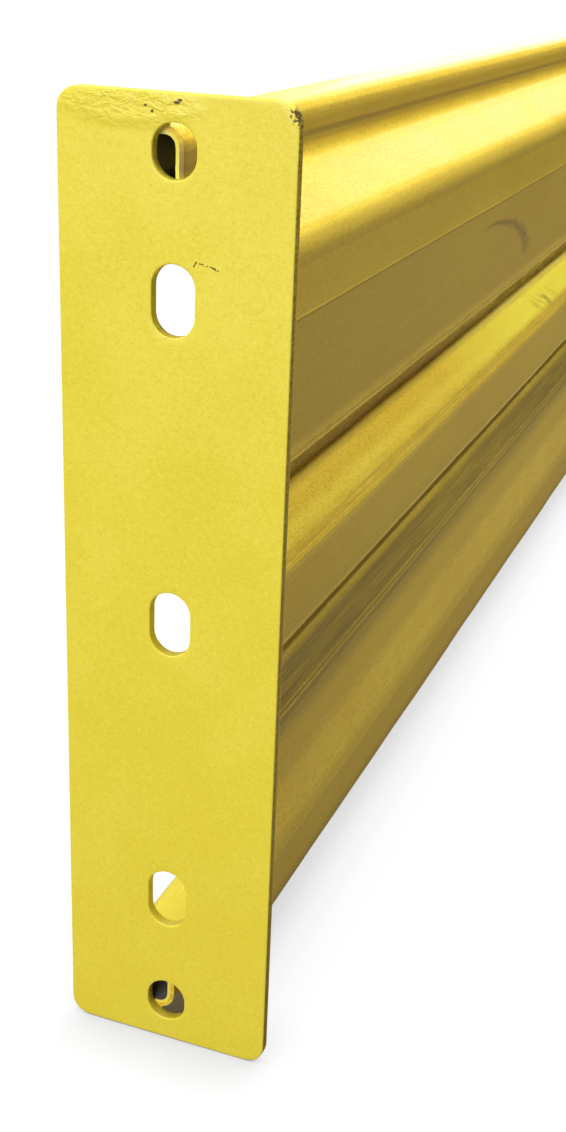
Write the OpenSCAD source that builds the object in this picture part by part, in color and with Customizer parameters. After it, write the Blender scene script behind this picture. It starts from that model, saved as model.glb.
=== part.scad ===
// One section of an industrial guard rail: a roll-formed steel beam with three
// ribs, a slotted plate welded across each end, and the fillet welds between.
// X runs along the rail, the ribs face -Y, Z is up, and the section stands on
// the lower edges of its two end plates. Millimetres and degrees.

/* [Section] */
// Length over both end plates
rail_length = 1219.2; // [610:0.1:3048]
// Height of an end plate
plate_height = 387.35; // [320:0.05:480]
// Width of an end plate, front to back
plate_width = 88.9; // [80:0.1:110]
// Thickness of an end plate
plate_thickness = 4.76; // [3:0.01:8]
// Corner radius of an end plate
plate_corner_radius = 8; // [3:0.1:12]

/* [Plate slots] */
// Width of every slot
slot_width = 16.7; // [12:0.1:21]
// Up and down travel of a bolt in the three bolt slots
slot_travel = 9.3; // [4:0.1:16]
// How much taller than wide the drain slot near each end of the plate is
drain_stretch = 2.35; // [0.5:0.05:6]
// Centre of a drain slot from the end of the plate
drain_margin = 19.05; // [15:0.05:23]
// Centre of a drain slot to the centre of the next bolt slot
drain_to_slot = 50.8; // [40:0.1:62]

/* [Beam] */
// Thickness of the beam's sheet
sheet = 3.04; // [1.9:0.01:4]
// Bare plate above and below the beam
beam_margin = 11.1; // [6:0.1:16]
// Rib faces behind the front edges of the plates
rib_setback = 10; // [6:0.1:14]
// Height of the middle rib between its bend corners, on the sheet's middle line
middle_rib_height = 34.8; // [28:0.1:45]
// Depth of the two valleys behind the rib faces
valley_depth = 22.4; // [16:0.1:27]
// Height of a valley's flat floor between its bend corners
valley_floor = 17.9; // [14:0.1:24]
// Angle of every sloping flank from level
flank_angle = 31; // [22:0.5:38]
// Inside radius of the rib and valley bends
bend_radius = 9; // [6:0.1:11]

/* [Lips] */
// Height of a lip's front face down to its bend corner, on the sheet's middle line
lip_face = 21; // [18:0.1:27]
// Outside size of the rolled lips, both ways
lip_size = 27.4; // [23:0.1:34]
// Inside radius of the lip bends
lip_radius = 4.3; // [2:0.1:6]
// Gap from a lip's free edge to the plane of the lip's front sheet
lip_seam = 1.5; // [1:0.1:4]

/* [Welds] */
// Leg of the fillet welds
weld_leg = 4.5; // [3:0.1:6]
// Fullness of a fillet's face, as a share of its leg; 0.5 is flat
weld_crown = 0.6; // [0.5:0.01:0.7]
// Length of a stitch weld on the back of an outer rib
stitch_length = 30; // [18:0.5:40]
// Weld kept back from the edges of the drain slots
weld_slot_clearance = 0.2; // [0:0.1:2]

/* [Hidden] */
$fn = 64;
PAINT = [0.86, 0.78, 0.16];
WELD_PAINT = [0.80, 0.72, 0.14];

LEFT = -1;
RIGHT = 1;
half_sheet = sheet / 2;
mid_z = plate_height / 2;
beam_length = rail_length - 2 * plate_thickness;

// The beam's outline as [forward of the plates' middle, above mid height],
// on the sheet's middle line, from the middle rib up to the lip's free edge.
rib_out = plate_width / 2 - rib_setback - half_sheet;
valley_out = rib_out - valley_depth;
valley_flank = valley_depth * tan(flank_angle);
lip_flank = rib_out * tan(flank_angle);
half_height = mid_z - beam_margin - half_sheet;
middle_rib_top = middle_rib_height / 2;
floor_bottom = middle_rib_top + valley_flank;
floor_top = floor_bottom + valley_floor;
outer_rib_bottom = floor_top + valley_flank;
outer_rib_top = half_height - lip_face - lip_flank;
lip_back = sheet - lip_size;
lip_bottom = half_height + sheet - lip_size;
UPPER_HALF = [
    [rib_out, middle_rib_top],
    [valley_out, floor_bottom],
    [valley_out, floor_top],
    [rib_out, outer_rib_bottom],
    [rib_out, outer_rib_top],
    [0, half_height - lip_face],
    [0, half_height],
    [lip_back, half_height],
    [lip_back, lip_bottom],
    [-half_sheet - lip_seam, lip_bottom]
];
LAST = len(UPPER_HALF) - 1;
LOWER_HALF = [for (i = [LAST:-1:0]) [UPPER_HALF[i].x, -UPPER_HALF[i].y]];
PATH = concat(LOWER_HALF, UPPER_HALF);
PATH_LAST = len(PATH) - 1;
// The three bends of each lip are the tight ones, next to the path's ends
LIP_BENDS = 3;
// Numbers of corners and flats along PATH; flat i runs from corner i to i + 1
MIDDLE_RIB_FLAT = LAST;
UPPER_RIB_FLAT = MIDDLE_RIB_FLAT + 4;
LOWER_RIB_FLAT = MIDDLE_RIB_FLAT - 4;
TOP_LIP_FLAT = PATH_LAST - 3;
BOTTOM_LIP_FLAT = 2;

// ---- the sheet's path: corners rounded by true arcs ----

function unit(v) = v / norm(v);
function left_of(v) = [-v.y, v.x];
function cross2(a, b) = a.x * b.y - a.y * b.x;
// Radius of the sheet's middle line in the bend at corner i
function mid_radius(i) =
    half_sheet + (i <= LIP_BENDS || i >= PATH_LAST - LIP_BENDS ? lip_radius : bend_radius);
function heading(i) = unit(PATH[i + 1] - PATH[i]);
// Degrees turned at corner i, positive to the left
function turn(i) =
    atan2(cross2(heading(i - 1), heading(i)), heading(i - 1) * heading(i));
function tangent(i) =
    i == 0 || i == PATH_LAST ? 0 : mid_radius(i) * tan(abs(turn(i)) / 2);
function bend_centre(i) =
    PATH[i] - heading(i - 1) * tangent(i)
    + left_of(heading(i - 1)) * mid_radius(i) * sign(turn(i));
// Direction from the bend's centre to where the bend begins, in degrees
function bend_start(i) =
    atan2(heading(i - 1).y, heading(i - 1).x) - 90 * sign(turn(i));
function flat_start(i) = PATH[i] + heading(i) * tangent(i);
function flat_end(i) = PATH[i + 1] - heading(i) * tangent(i + 1);

// ---- placing: a 2D outline of [forward, up] carried along X ----

module along_x(x_start, length) {
    translate([x_start, 0, mid_z]) rotate([90, 0, 90])
        linear_extrude(length) mirror([1, 0]) children();
}

// ---- beam ----

module flat_strip(i) {
    a = flat_start(i);
    b = flat_end(i);
    across = left_of(heading(i)) * half_sheet;
    polygon([a + across, a - across, b - across, b + across]);
}

module bend_arc(i) {
    centre = bend_centre(i);
    outer = mid_radius(i) + half_sheet;
    reach = 2 * outer;
    half = abs(turn(i)) / 2;
    middle = bend_start(i) + turn(i) / 2;
    wedge = [for (a = [middle - half, middle, middle + half]) reach * [cos(a), sin(a)]];
    translate(centre) intersection() {
        difference() {
            circle(outer);
            circle(mid_radius(i) - half_sheet);
        }
        polygon(concat([[0, 0]], wedge));
    }
}

module beam_outline() {
    for (i = [0:PATH_LAST - 1]) flat_strip(i);
    for (i = [1:PATH_LAST - 1]) bend_arc(i);
}

module beam() {
    color(PAINT) along_x(-beam_length / 2, beam_length) beam_outline();
}

// ---- end plates ----

// An obround slot, travel longer than it is wide, grown all round by grow
module upright_slot(travel, grow = 0) {
    width = slot_width + 2 * grow;
    square([width, travel], center = true);
    for (up = [-travel, travel] / 2) translate([0, up]) circle(d = width);
}

drain_z = plate_height / 2 - drain_margin;
slot_z = drain_z - drain_to_slot;

module plate_outline() {
    inner = [plate_width - 2 * plate_corner_radius, plate_height - 2 * plate_corner_radius];
    difference() {
        union() {
            square([plate_width, inner.y], center = true);
            square([inner.x, plate_height], center = true);
            for (y = [-1, 1], z = [-1, 1])
                translate([y * inner.x, z * inner.y] / 2) circle(plate_corner_radius);
        }
        for (z = [-slot_z, 0, slot_z]) translate([0, z]) upright_slot(slot_travel);
        for (z = [-drain_z, drain_z]) translate([0, z]) upright_slot(drain_stretch);
    }
}

module end_plate(side) {
    start = side == LEFT ? -rail_length / 2 : rail_length / 2 - plate_thickness;
    color(PAINT) along_x(start, plate_thickness) plate_outline();
}

// ---- welds ----

// Lays children drawn as [forward, up, off the plate] on a plate's inner face
module on_plate(side) {
    mirror([side == RIGHT ? 1 : 0, 0, 0])
        translate([plate_thickness - rail_length / 2, 0, mid_z])
            rotate([90, 0, 90]) mirror([1, 0, 0]) children();
}

// Cross-section of a slightly crowned fillet, as [off the sheet, off the plate]
module fillet() {
    crown = weld_crown * weld_leg;
    polygon([[0, 0], [weld_leg, 0], [crown, crown], [0, weld_leg]]);
}

// Bead along the middle of flat i, on its front skin, or its back skin for back = true
module flat_bead(i, length, back = false) {
    skin = left_of(heading(i)) * half_sheet * (back ? 1 : -1);
    end = (flat_start(i) + flat_end(i) + heading(i) * length) / 2 + skin;
    translate([end.x, end.y, 0])
        rotate([90, 0, atan2(heading(i).y, heading(i).x) - 90])
            linear_extrude(length) mirror([back ? 1 : 0, 0]) fillet();
}

// Bead round the front skin of bend i
module bend_bead(i) {
    outside = turn(i) > 0;
    radius = mid_radius(i) + (outside ? half_sheet : -half_sheet);
    first = outside ? bend_start(i) : bend_start(i) + turn(i);
    translate(concat(bend_centre(i), [0])) rotate([0, 0, first])
        rotate_extrude(angle = abs(turn(i)))
            translate([radius, 0]) mirror([outside ? 0 : 1, 0]) fillet();
}

// Beads on whole flats and bends, ending at the drain slots
module front_weld(side, flats, bends) {
    color(WELD_PAINT) on_plate(side) difference() {
        union() {
            for (i = flats) flat_bead(i, norm(flat_end(i) - flat_start(i)));
            for (i = bends) bend_bead(i);
        }
        for (z = [-drain_z, drain_z]) translate([0, z, -weld_leg])
            linear_extrude(3 * weld_leg) upright_slot(drain_stretch, weld_slot_clearance);
    }
}

// Top, or underside, and back of a rolled lip
module top_lip_weld(side) {
    front_weld(side, [TOP_LIP_FLAT:TOP_LIP_FLAT + 1], [TOP_LIP_FLAT:TOP_LIP_FLAT + 1]);
}

module bottom_lip_weld(side) {
    front_weld(side, [BOTTOM_LIP_FLAT - 1:BOTTOM_LIP_FLAT], [BOTTOM_LIP_FLAT:BOTTOM_LIP_FLAT + 1]);
}

// Face, flanks and bends of an outer rib, up to the front face of its lip
module upper_rib_weld(side) {
    face = UPPER_RIB_FLAT;
    front_weld(side, [face - 1:face + 2], [face - 1:face + 2]);
}

module lower_rib_weld(side) {
    face = LOWER_RIB_FLAT;
    front_weld(side, [face - 2:face + 1], [face - 1:face + 2]);
}

// The middle rib's weld takes in the floors of both valleys
module middle_rib_weld(side) {
    face = MIDDLE_RIB_FLAT;
    front_weld(side, [face - 2:face + 2], [face - 1:face + 2]);
}

module rib_stitch(side, face) {
    color(WELD_PAINT) on_plate(side) flat_bead(face, stitch_length, back = true);
}

beam();
end_plate(LEFT);  // left_plate
top_lip_weld(LEFT);  // left_weld_top_lip
upper_rib_weld(LEFT);  // left_weld_upper_rib
middle_rib_weld(LEFT);  // left_weld_middle_rib
lower_rib_weld(LEFT);  // left_weld_lower_rib
bottom_lip_weld(LEFT);  // left_weld_bottom_lip
rib_stitch(LEFT, UPPER_RIB_FLAT);  // left_stitch_upper_rib
rib_stitch(LEFT, LOWER_RIB_FLAT);  // left_stitch_lower_rib
end_plate(RIGHT);  // right_plate
top_lip_weld(RIGHT);  // right_weld_top_lip
upper_rib_weld(RIGHT);  // right_weld_upper_rib
middle_rib_weld(RIGHT);  // right_weld_middle_rib
lower_rib_weld(RIGHT);  // right_weld_lower_rib
bottom_lip_weld(RIGHT);  // right_weld_bottom_lip
rib_stitch(RIGHT, UPPER_RIB_FLAT);  // right_stitch_upper_rib
rib_stitch(RIGHT, LOWER_RIB_FLAT);  // right_stitch_lower_rib
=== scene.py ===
"""Industrial guard rail section: a roll-formed beam welded between two slotted end plates."""
import math
from enum import IntEnum

import bpy
import numpy as np
from mathutils import Matrix, Vector


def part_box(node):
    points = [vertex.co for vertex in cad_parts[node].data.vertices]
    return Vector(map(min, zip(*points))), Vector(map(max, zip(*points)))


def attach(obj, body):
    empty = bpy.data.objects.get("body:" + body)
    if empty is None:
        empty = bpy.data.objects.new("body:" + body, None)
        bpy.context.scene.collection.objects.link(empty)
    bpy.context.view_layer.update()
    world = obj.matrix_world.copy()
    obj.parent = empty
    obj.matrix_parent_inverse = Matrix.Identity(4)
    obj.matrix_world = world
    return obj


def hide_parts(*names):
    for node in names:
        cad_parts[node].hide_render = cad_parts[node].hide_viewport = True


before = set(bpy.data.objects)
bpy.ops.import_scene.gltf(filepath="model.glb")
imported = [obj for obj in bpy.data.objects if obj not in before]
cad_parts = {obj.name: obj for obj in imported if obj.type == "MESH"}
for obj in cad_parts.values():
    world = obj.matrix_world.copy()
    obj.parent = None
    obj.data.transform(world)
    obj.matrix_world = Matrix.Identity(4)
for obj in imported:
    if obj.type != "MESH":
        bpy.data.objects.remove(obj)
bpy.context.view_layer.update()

# ---- sizes, in metres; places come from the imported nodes' boxes ----

SHEET = 0.00304
HALF_SHEET = SHEET / 2
BEAM_MARGIN = 0.0111
RIB_SETBACK = 0.010
MIDDLE_RIB_HEIGHT = 0.0348
VALLEY_DEPTH = 0.0224
VALLEY_FLOOR = 0.0143
FLANK_SLOPE = math.tan(math.radians(31))
BEND_RADIUS = 0.009
FOOT_RADIUS = 0.006
CREASE_RADIUS = 0.0004
LIP_FACE = 0.021
LIP_SIZE = 0.0274
LIP_RADIUS = 0.0043
LIP_SEAM = 0.0015
CREASE_FROM_CORNER = 0.0269
CREASE_FALL = 0.0008
RIB_LEAN = 0.004
RIB_RAISE = 0.0015
EDGE_SWING = np.radians([-54, -18, 18, 54])
EDGE_BULGE = 0.35

SLOT_RADIUS = 0.00835
SLOT_RISE = 0.00465
DRAIN_RISE = 0.001175
DRAIN_MARGIN = 0.01905
DRAIN_TO_SLOT = 0.0508
PLATE_CORNER = 0.008
ARRIS = 0.0005

WELD_LEG = 0.0045
WELD_CLEARANCE = 0.0009
STITCH_LENGTH = 0.030

plate_low, plate_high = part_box("left_plate")
_, beam_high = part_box("beam")
PLATE_HEIGHT = plate_high.z - plate_low.z
HALF_WIDTH = (plate_high.y - plate_low.y) / 2
MID_Z = (plate_high.z + plate_low.z) / 2
OUTER_X = -plate_low.x
INNER_X = -plate_high.x
BEAM_X = beam_high.x
PLATE_DEPTH = OUTER_X - INNER_X
DRAIN_UP = PLATE_HEIGHT / 2 - DRAIN_MARGIN
SIDES = (("left", -1), ("right", 1))

# the longest flat step and the widest bend step of a section's points
MESH_STEPS = 0.0065, math.radians(7.5)
FINE_STEPS = 0.001, math.radians(3)
BEAM_ROWS = 141
BEAM_CROWDING = 1.25

# added to u on the rear skin, so that a coat can tell the two skins apart
REAR_U = 10.0

Bend = IntEnum("Bend", """
    LOW_EDGE LOW_TUCK LOW_LIP_REAR LOW_LIP_FRONT LOW_FOOT LOW_RIB_OUTER LOW_CREASE
    LOW_RIB_INNER LOW_VALLEY_OUTER LOW_VALLEY_INNER MIDDLE_RIB_LOW MIDDLE_RIB_HIGH
    HIGH_VALLEY_INNER HIGH_VALLEY_OUTER HIGH_RIB_INNER HIGH_CREASE HIGH_RIB_OUTER
    HIGH_FOOT HIGH_LIP_FRONT HIGH_LIP_REAR HIGH_TUCK HIGH_EDGE""", start=0)


# ---- meshes from whole arrays ----

def make_piece(name, points, faces, finish, uv=None, sharp=35):
    """A mesh of points (n, 3) and faces (a list of index arrays of one width each), smooth
    but for edges sharper than sharp degrees. uv gives two numbers a point."""
    mesh = bpy.data.meshes.new(name)
    corners = np.concatenate([f.ravel() for f in faces]).astype(np.int32)
    totals = np.concatenate([np.full(len(f), f.shape[1]) for f in faces]).astype(np.int32)
    loop_start = np.concatenate([[0], np.cumsum(totals)[:-1]]).astype(np.int32)
    mesh.vertices.add(len(points))
    mesh.vertices.foreach_set("co", np.asarray(points, np.float32).ravel())
    mesh.loops.add(len(corners))
    mesh.loops.foreach_set("vertex_index", corners)
    mesh.polygons.add(len(totals))
    mesh.polygons.foreach_set("loop_start", loop_start)
    mesh.polygons.foreach_set("loop_total", totals)
    if uv is not None:
        layer = mesh.uv_layers.new(name="strip")
        layer.data.foreach_set("uv", np.asarray(uv, np.float32)[corners].ravel())
    mesh.update(calc_edges=True)
    mesh.validate()
    mesh.polygons.foreach_set("use_smooth", np.ones(len(mesh.polygons), bool))
    mesh.set_sharp_from_angle(angle=math.radians(sharp))
    mesh.materials.append(finish)
    piece = bpy.data.objects.new(name, mesh)
    bpy.context.scene.collection.objects.link(piece)
    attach(piece, "root")
    return piece


def grid_faces(rows, columns, close_rows=False, close_columns=False, start=0):
    """Quads of a grid of rows by columns, whose points run column by column along a row."""
    r = np.arange(rows if close_rows else rows - 1)
    c = np.arange(columns if close_columns else columns - 1)
    r, c = np.meshgrid(r, c, indexing="ij")
    r1, c1 = (r + 1) % rows, (c + 1) % columns
    quads = np.stack([r * columns + c, r1 * columns + c, r1 * columns + c1, r * columns + c1], -1)
    return quads.reshape(-1, 4) + start


def merged(points, faces):
    """Points that lie within a hundredth of a millimetre of each other become one."""
    reach = 1e-5
    key = np.round(points / reach).astype(np.int64)
    _, first, place = np.unique(key, axis=0, return_index=True, return_inverse=True)
    return points[first], place.ravel()[faces]


def read_off(where, along, values):
    """Each column of values, given at the distances along, read off at where."""
    return np.stack([np.interp(where, along, column) for column in values.T], -1)


# ---- the rolled sheet's section ----

def section_corners():
    """Bend corners [forward, up] on the sheet's middle line: the half above mid height,
    and its mirror image below, from the lower lip's free edge to the upper one's."""
    rib = HALF_WIDTH - RIB_SETBACK - HALF_SHEET
    valley = rib - VALLEY_DEPTH
    flank = VALLEY_DEPTH * FLANK_SLOPE
    half_height = PLATE_HEIGHT / 2 - BEAM_MARGIN - HALF_SHEET
    floor_low = MIDDLE_RIB_HEIGHT / 2 + flank
    floor_high = floor_low + VALLEY_FLOOR
    rib_top = half_height - LIP_FACE - rib * FLANK_SLOPE + RIB_RAISE
    rib_low = floor_high + flank * (1 - RIB_LEAN / VALLEY_DEPTH)
    lip_back, lip_low = SHEET - LIP_SIZE, half_height + SHEET - LIP_SIZE
    upper = np.array([
        [rib, MIDDLE_RIB_HEIGHT / 2], [valley, floor_low], [valley, floor_high],
        [rib - RIB_LEAN, rib_low], [rib, rib_top - CREASE_FROM_CORNER],
        [rib - CREASE_FALL, rib_top], [0, half_height - LIP_FACE], [0, half_height],
        [lip_back, half_height], [lip_back, lip_low], [-HALF_SHEET - LIP_SEAM, lip_low]])
    return np.concatenate([upper[::-1] * [1, -1], upper])


def bend_radius(bend):
    """The middle line's radius at a bend. A crease has next to none."""
    if bend in (Bend.LOW_CREASE, Bend.HIGH_CREASE):
        return CREASE_RADIUS
    if bend <= Bend.LOW_LIP_FRONT or bend >= Bend.HIGH_LIP_FRONT:
        return HALF_SHEET + LIP_RADIUS
    if bend in (Bend.LOW_FOOT, Bend.HIGH_FOOT):
        return HALF_SHEET + FOOT_RADIUS
    return HALF_SHEET + BEND_RADIUS


def rolled_path(flat_step, bend_step):
    """The middle line with each corner replaced by a true arc. Gives points, unit normals
    towards the front skin, distances along the line, and the distances at which each bend
    starts and ends."""
    corners = section_corners()
    headings = np.diff(corners, axis=0)
    headings /= np.linalg.norm(headings, axis=1)[:, None]
    fronts = np.stack([headings[:, 1], -headings[:, 0]], -1)
    points, normals, starts, ends = [corners[0]], [fronts[0]], [0], [0]
    fewest_flat, fewest_bent = 2, 4
    for bend in range(1, len(corners) - 1):
        before, after, front = headings[bend - 1], headings[bend], fronts[bend - 1]
        turn = math.atan2(before[0] * after[1] - before[1] * after[0], before @ after)
        side = math.copysign(1, turn)
        radius = bend_radius(bend)
        reach = radius * math.tan(abs(turn) / 2)
        first = corners[bend] - before * reach
        count = max(fewest_flat, round(np.linalg.norm(first - points[-1]) / flat_step))
        share = np.arange(1, count + 1)[:, None] / count
        points += list(points[-1] * (1 - share) + first * share)
        normals += [front] * count
        centre = first - front * radius * side
        arc_count = max(fewest_bent, round(abs(turn) / bend_step))
        count = fewest_flat if radius == CREASE_RADIUS else arc_count
        swing = turn * np.arange(1, count + 1)[:, None] / count
        turned = np.cos(swing) * front + np.sin(swing) * np.array([-front[1], front[0]])
        starts.append(len(points) - 1)
        points += list(centre + turned * radius * side)
        normals += list(turned)
        ends.append(len(points) - 1)
    last_count = 4
    share = np.arange(1, last_count + 1)[:, None] / last_count
    points += list(points[-1] * (1 - share) + corners[-1] * share)
    normals += [fronts[-1]] * last_count
    points, normals = np.array(points), np.array(normals)
    lengths = np.linalg.norm(np.diff(points, axis=0), axis=1)
    along = np.concatenate([[0], np.cumsum(lengths)])
    starts.append(len(points) - 1)
    ends.append(len(points) - 1)
    return points, normals, along, along[starts], along[ends]


def roll_marks(starts, ends):
    """[distance along the line, height, half width] of the ridges and grooves that the rolls
    left on the front skin, the same above and below mid height."""
    middle_rib, rib_inner = ends[Bend.MIDDLE_RIB_HIGH], ends[Bend.HIGH_RIB_INNER]
    foot = ends[Bend.HIGH_FOOT]
    upper = np.array([
        (ends[Bend.HIGH_CREASE], 0.00028, 0.00045),
        (rib_inner - 0.0050, 0.00030, 0.0003),
        (rib_inner - 0.0066, 0.00016, 0.0003),
        (rib_inner - 0.0030, -0.00012, 0.0007),
        (middle_rib - 0.0034, -0.00014, 0.0006),
        (middle_rib - 0.0052, -0.00012, 0.0005),
        (starts[Bend.HIGH_RIB_OUTER] - 0.0016, -0.00008, 0.0012),
        (foot + 0.0042, -0.00016, 0.0009),
        (foot + 0.0118, -0.00012, 0.0008),
        (starts[Bend.MIDDLE_RIB_HIGH] + 0.0032, 0.00026, 0.0003)])
    lower = upper * [-1, 1, 1] + [starts[-1], 0, 0]
    return np.concatenate([upper, lower])


def with_marks(middle, normal, along, marks):
    """The section's points with more of them near each mark, and how far each is to stand
    forward: a bell curve of the mark's height and width round its place."""
    half_widths = np.array([-2.2, -1.3, -0.7, 0, 0.7, 1.3, 2.2])
    closest, digits = 0.00012, 6
    extra = (marks[:, :1] + marks[:, 2:] * half_widths).ravel()
    every = np.unique(np.round(np.concatenate([along, extra]), digits))
    every = every[np.concatenate([[True], np.diff(every) > closest])]
    facing = read_off(every, along, normal)
    facing /= np.linalg.norm(facing, axis=1, keepdims=True)
    bell = np.exp(-((every[:, None] - marks[:, 0]) / marks[:, 2]) ** 2)
    return read_off(every, along, middle), facing, every, (bell * marks[:, 1]).sum(1)


def waviness(along, x):
    """How far the sheet stands off its true face: a few long, shallow sine waves down the
    beam whose phase drifts across the section, faded out towards the welded ends."""
    waves = [(0.00010, 21, 17, 0.7), (0.00008, 47, -31, 2.1), (0.00004, 96, 60, 4.0)]
    calm_end = 0.12
    total = sum(height * np.sin(x * pace + along * drift + phase)
                for height, pace, drift, phase in waves)
    return total * np.clip((BEAM_X - np.abs(x)) / calm_end, 0, 1) ** 2


def free_edge(point, normal, outward, way):
    """Points round a free edge of the sheet, from one skin to the other. Way, 1 or -1, says
    which skin comes first: half a flattened ellipse on the edge's end point."""
    swing = way * EDGE_SWING[:, None]
    return point + HALF_SHEET * (np.sin(swing) * normal + EDGE_BULGE * np.cos(swing) * outward)


def rolled_beam(finish):
    """The sheet's closed section carried along X: out over the front skin, round one free
    edge, back over the rear skin and round the other, closed at both cut ends."""
    middle, normal, along, starts, ends = rolled_path(*MESH_STEPS)
    middle, normal, along, relief = with_marks(middle, normal, along, roll_marks(starts, ends))
    count, edge_count, rear_share = len(middle), len(EDGE_SWING), 0.8
    ahead = np.array([-normal[-1][1], normal[-1][0]])
    behind = np.array([normal[0][1], -normal[0][0]])
    ring = np.concatenate([
        middle + normal * (HALF_SHEET + relief[:, None]),
        free_edge(middle[-1], normal[-1], ahead, -1),
        (middle - normal * (HALF_SHEET - relief[:, None] * rear_share))[::-1],
        free_edge(middle[0], normal[0], behind, 1)])
    still = np.zeros((edge_count, 2))
    ring_normal = np.concatenate([normal, still, normal[::-1], still])
    ring_along = np.concatenate([along, np.full(edge_count, along[-1]), along[::-1],
                                 np.zeros(edge_count)])
    spread = np.sin(np.linspace(-1, 1, BEAM_ROWS) * BEAM_CROWDING) / math.sin(BEAM_CROWDING)
    x = BEAM_X * spread[:, None]
    section = ring + waviness(ring_along, x)[..., None] * ring_normal
    shape = section.shape[:2]
    points = np.stack([np.broadcast_to(x, shape), -section[..., 0], MID_Z + section[..., 1]], -1)
    size = len(ring)
    i = np.arange(count - 1)
    j = 2 * count + edge_count - 1 - i
    cap = np.stack([i, i + 1, j - 1, j], -1)
    rear = count + edge_count
    edge_caps = np.array([[count - 1, *range(count, rear), rear],
                          [rear + count - 1, *range(rear + count, size), 0]])
    top = (BEAM_ROWS - 1) * size
    faces = [grid_faces(BEAM_ROWS, size, close_columns=True), cap, edge_caps,
             (cap + top)[:, ::-1], (edge_caps + top)[:, ::-1]]
    rear_skin = (np.arange(size) >= rear) * REAR_U
    uv = np.stack([x + rear_skin, np.broadcast_to(ring_along, shape)], -1)
    return make_piece("rolled_beam", points.reshape(-1, 3), faces, finish,
                      uv.reshape(-1, 2), sharp=30)


# ---- finishes ----

class Signal:
    """A shader value. Sums, products and the like of signals add Math nodes."""

    def __init__(self, finish, socket):
        self.finish, self.socket = finish, socket

    def __add__(self, other):
        return self.finish.math("ADD", self, other)

    def __sub__(self, other):
        return self.finish.math("SUBTRACT", self, other)

    def __rsub__(self, other):
        return self.finish.math("SUBTRACT", other, self)

    def __mul__(self, other):
        return self.finish.math("MULTIPLY", self, other)

    def __truediv__(self, other):
        return self.finish.math("DIVIDE", self, other)

    def __abs__(self):
        return self.finish.math("ABSOLUTE", self)

    __radd__, __rmul__ = __add__, __mul__


class Finish:
    """A material's node tree and the few ways that nodes are added to it."""

    def __init__(self, name):
        self.material = bpy.data.materials.new(name)
        self.material.use_nodes = True
        self.tree = self.material.node_tree
        self.tree.nodes.clear()

    def node(self, kind, settings=None, values=None, out=0):
        """A node of a kind, with its settings, and the values or links of its sockets."""
        made = self.tree.nodes.new(kind)
        for key, value in (settings or {}).items():
            setattr(made, key, value)
        for key, value in (values or {}).items():
            if isinstance(value, Signal):
                self.tree.links.new(value.socket, made.inputs[key])
            else:
                made.inputs[key].default_value = value
        return Signal(self, made.outputs[out]) if len(made.outputs) else None

    def math(self, operation, *values):
        return self.node("ShaderNodeMath", {"operation": operation}, dict(enumerate(values)))

    def place(self, scale=(1, 1, 1), shift=(0, 0, 0), turn=(0, 0, 0)):
        """Object coordinates, scaled, turned and shifted."""
        where = self.node("ShaderNodeTexCoord", out="Object")
        return self.node("ShaderNodeMapping", None,
                         {"Vector": where, "Location": shift, "Rotation": turn, "Scale": scale})

    def strip(self, scale=(1, 1, 1), shift=(0, 0, 0)):
        """The rolled sheet's own coordinates: along the beam, and round its section."""
        where = self.node("ShaderNodeUVMap", {"uv_map": "strip"})
        return self.node("ShaderNodeMapping", None,
                         {"Vector": where, "Location": shift, "Scale": scale})

    def vector(self, x, y):
        return self.node("ShaderNodeCombineXYZ", None, {0: x, 1: y})

    def parts(self, where):
        """The three numbers of a vector."""
        split = self.tree.nodes.new("ShaderNodeSeparateXYZ")
        self.tree.links.new(where.socket, split.inputs[0])
        return [Signal(self, out) for out in split.outputs]

    def length(self, where):
        return self.node("ShaderNodeVectorMath", {"operation": "LENGTH"}, {0: where}, "Value")

    def spot(self, centre, reach):
        """Distance from centre, measured so that it is one at reach along each axis. An axis
        of no reach is left out."""
        scale = [1 / r if r else 0 for r in reach]
        shift = [-c * s for c, s in zip(centre, scale)]
        return self.length(self.place(scale, shift))

    def noise(self, where, scale=1.0, detail=2.0, roughness=0.5, distortion=0.0):
        return self.node("ShaderNodeTexNoise", None, {
            "Vector": where, "Scale": scale, "Detail": detail, "Roughness": roughness,
            "Distortion": distortion}, "Fac")

    def step(self, value, low, high, start=0.0, end=1.0):
        """start below low, end above high, and a smooth rise between."""
        return self.node("ShaderNodeMapRange", {"interpolation_type": "SMOOTHSTEP"}, {
            "Value": value, "From Min": low, "From Max": high, "To Min": start, "To Max": end})

    def line(self, value, middle, half_width):
        """One on the line where value is middle, falling smoothly to nothing beside it."""
        return self.step(abs(value - middle), half_width * 0.3, half_width, 1, 0)

    def band(self, value, low, high, soft):
        """One between low and high, falling smoothly to nothing within soft of them."""
        rise = self.step(value, low - soft, low + soft)
        return rise * self.step(value, high - soft, high + soft, 1, 0)

    def blend(self, share, one, other):
        return self.node("ShaderNodeMix", {"data_type": "RGBA"}, {0: share, 6: one, 7: other}, 2)

    def layers(self, colour, coats):
        """A colour under coats of [share, colour], laid one on another."""
        for share, coat in coats:
            colour = self.blend(share, colour, coat)
        return colour

    def relief(self, bumps):
        """Bumps of [height, distance], one over another."""
        normal = None
        for height, distance in bumps:
            values = {"Height": height, "Distance": distance, "Strength": 1.0}
            if normal is not None:
                values["Normal"] = normal
            normal = self.node("ShaderNodeBump", None, values)
        return normal

    def surface(self, colour, rough, normal):
        """Gloss paint over whatever the colour shows."""
        shader = self.node("ShaderNodeBsdfPrincipled", None, {
            "Base Color": colour, "Roughness": rough, "Normal": normal, "IOR": 1.5})
        self.node("ShaderNodeOutputMaterial", None, {"Surface": shader})
        return self.material


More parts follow.
